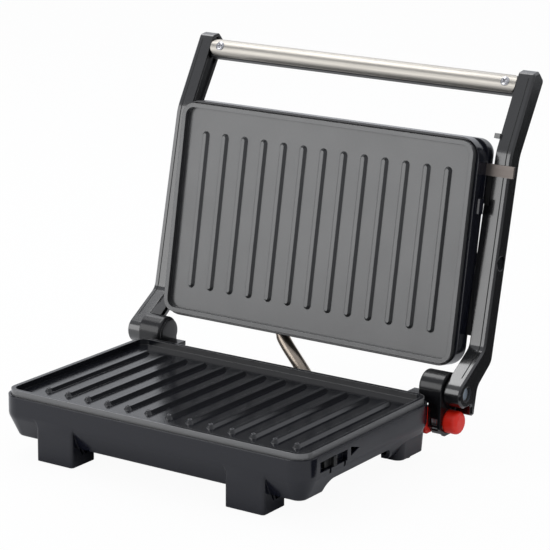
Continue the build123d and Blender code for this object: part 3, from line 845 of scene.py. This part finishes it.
class GRILL_OT_conduit(bpy.types.Operator):
    """Wound steel conduit between the housings, in two halves"""

    bl_idname = "grill.conduit"
    bl_label = "Wiring conduit"

    def execute(self, context):
        sizes = context.scene.grill_sizes
        rows = even_points(spline_points(CONDUIT_ROUTE), sizes.winding_pitch / WINDING_STEPS)
        across = Vector((1, 0, 0))
        turn = [2 * math.pi * i / CONDUIT_SIDES for i in range(CONDUIT_SIDES)]
        rings = []
        for distance, point, ahead in rows:
            up = ahead.cross(across).normalized()
            out = up.cross(ahead).normalized()
            swing = 0.5 - 0.5 * math.cos(2 * math.pi * distance / sizes.winding_pitch)
            radius = CONDUIT_RADIUS - sizes.winding_depth * swing
            rings.append([
                point + (out * math.cos(a) + up * math.sin(a)) * radius for a in turn
            ])
        half = len(rings) // 2
        halves = (
            ("conduit_low", rings[:half + 1], "base", "handle_frame", 3, half - 6),
            ("conduit_high", rings[half:], "handle_frame", "platen", half + 6, len(rows) - 4),
        )
        for name, part, first, second, start, end in halves:
            bm = bmesh.new()
            loft(bm, part)
            piece = keep_piece(name, bm, None, "conduit_steel")
            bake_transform(piece)
            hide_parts("wiring_conduit")
        return {"FINISHED"}


def area_light(name, place, size, power):
    """A soft rectangular light that faces the grill."""
    light = bpy.data.lights.new(name, "AREA")
    light.shape = "RECTANGLE"
    light.size, light.size_y = size
    light.energy = power
    lamp = bpy.data.objects.new(name, light)
    lamp.location = place
    lamp.rotation_euler = (Vector(LIGHT_AIM) - Vector(place)).to_track_quat("-Z", "Y").to_euler()
    bpy.context.scene.collection.objects.link(lamp)


def lift_floor(material, lift):
    """A pale floor that the camera sees nearly white, with the shadow kept."""
    nodes, links = material.node_tree.nodes, material.node_tree.links
    shader = nodes["Principled BSDF"]
    shader.inputs["Base Color"].default_value = (0.85, 0.85, 0.85, 1)
    shader.inputs["Roughness"].default_value = 0.9
    shader.inputs["Specular IOR Level"].default_value = 0.1
    white = nodes.new("ShaderNodeEmission")
    path = nodes.new("ShaderNodeLightPath")
    mix = nodes.new("ShaderNodeMixShader")
    share = math_node(nodes, links, "MULTIPLY", path.outputs["Is Camera Ray"], lift)
    links.new(share, mix.inputs[0])
    links.new(shader.outputs[0], mix.inputs[1])
    links.new(white.outputs[0], mix.inputs[2])
    links.new(mix.outputs[0], nodes["Material Output"].inputs["Surface"])


def build_world(scene):
    """Soft light that is brighter overhead, with white behind the grill."""
    world = bpy.data.worlds.new("Studio world")
    scene.world = world
    world.use_nodes = True
    nodes, links = world.node_tree.nodes, world.node_tree.links
    light = nodes["Background"]
    way = nodes.new("ShaderNodeTexCoord")
    height = nodes.new("ShaderNodeSeparateXYZ")
    ramp = nodes.new("ShaderNodeMapRange")
    ramp.inputs["From Min"].default_value = 0.0
    ramp.inputs["From Max"].default_value = 1.0
    ramp.inputs["To Min"].default_value = 0.3
    ramp.inputs["To Max"].default_value = 0.8
    links.new(way.outputs["Generated"], height.inputs[0])
    links.new(height.outputs[2], ramp.inputs["Value"])
    behind = math_node(nodes, links, "MAXIMUM", height.outputs[1], 0.0)
    behind = math_node(nodes, links, "MULTIPLY", behind, 0.55)
    strength = math_node(nodes, links, "ADD", ramp.outputs[0], behind)
    links.new(strength, light.inputs["Strength"])
    light.inputs["Color"].default_value = (0.93, 0.95, 1.0, 1)
    seen = nodes.new("ShaderNodeBackground")
    path = nodes.new("ShaderNodeLightPath")
    mix = nodes.new("ShaderNodeMixShader")
    links.new(path.outputs["Is Camera Ray"], mix.inputs[0])
    links.new(light.outputs[0], mix.inputs[1])
    links.new(seen.outputs[0], mix.inputs[2])
    links.new(mix.outputs[0], nodes["World Output"].inputs["Surface"])


class GRILL_OT_studio(bpy.types.Operator):
    """Build the floor, lights, world and camera"""

    bl_idname = "grill.studio"
    bl_label = "Studio"

    def execute(self, context):
        settings = context.scene.grill_studio
        scene = context.scene
        scene.view_settings.view_transform = "Standard"
        data = bpy.data.cameras.new("Studio camera")
        data.sensor_width = 36.0
        data.lens = settings.lens
        data.clip_start, data.clip_end = 0.05, 50.0
        camera = bpy.data.objects.new("Studio camera", data)
        turn = Matrix.Rotation(settings.azimuth, 4, "Z")
        tip = Matrix.Rotation(math.pi / 2 - settings.elevation, 4, "X")
        lean = Matrix.Rotation(settings.roll, 4, "Z")
        camera.matrix_world = Matrix.Translation(settings.place) @ turn @ tip @ lean
        scene.collection.objects.link(camera)
        scene.camera = camera

        bpy.ops.mesh.primitive_plane_add(size=30.0, location=(0, 0, 0))
        floor = context.object
        floor.name = "Studio_floor"
        material = bpy.data.materials.new("Studio floor")
        material.use_nodes = True
        lift_floor(material, settings.floor_lift)
        floor.data.materials.append(material)

        bpy.ops.mesh.primitive_plane_add(size=CARD_SIZE, location=CARD_PLACE)
        card = context.object
        card.name = "Studio_card"
        card.visible_camera = False
        card.visible_diffuse = False
        card.visible_shadow = False
        card.data.materials.append(moulded("Card black", grey(0.01), 0.9))

        build_world(scene)
        for name, place, size, power in SOFT_BOXES:
            area_light(name, place, size, power * settings.light)
        return {"FINISHED"}


class GRILL_PT_panel(bpy.types.Panel):
    """Lists the steps that dress the grill"""

    bl_label = "Contact grill"
    bl_idname = "GRILL_PT_panel"
    bl_space_type = "VIEW_3D"
    bl_region_type = "UI"
    bl_category = "Grill"

    def draw(self, context):
        for operator in STEPS:
            self.layout.operator(operator.bl_idname)


STEPS = (
    GRILL_OT_studio, GRILL_OT_finishes, GRILL_OT_foot_fairings, GRILL_OT_rib_rings,
    GRILL_OT_arm_trim, GRILL_OT_hinge_caps, GRILL_OT_handle_screws, GRILL_OT_conduit,
)
CLASSES = (FinishColours, StudioSettings, PieceSizes, *STEPS, GRILL_PT_panel)


def register():
    for item in CLASSES:
        bpy.utils.register_class(item)
    bpy.types.Scene.grill_colours = bpy.props.PointerProperty(type=FinishColours)
    bpy.types.Scene.grill_studio = bpy.props.PointerProperty(type=StudioSettings)
    bpy.types.Scene.grill_sizes = bpy.props.PointerProperty(type=PieceSizes)


def unregister():
    del bpy.types.Scene.grill_sizes
    del bpy.types.Scene.grill_studio
    del bpy.types.Scene.grill_colours
    for item in reversed(CLASSES):
        bpy.utils.unregister_class(item)


def main():
    """Run every step in order."""
    register()
    for operator in STEPS:
        section, name = operator.bl_idname.split(".")
        getattr(getattr(bpy.ops, section), name)()


if __name__ == "__main__":
    main()
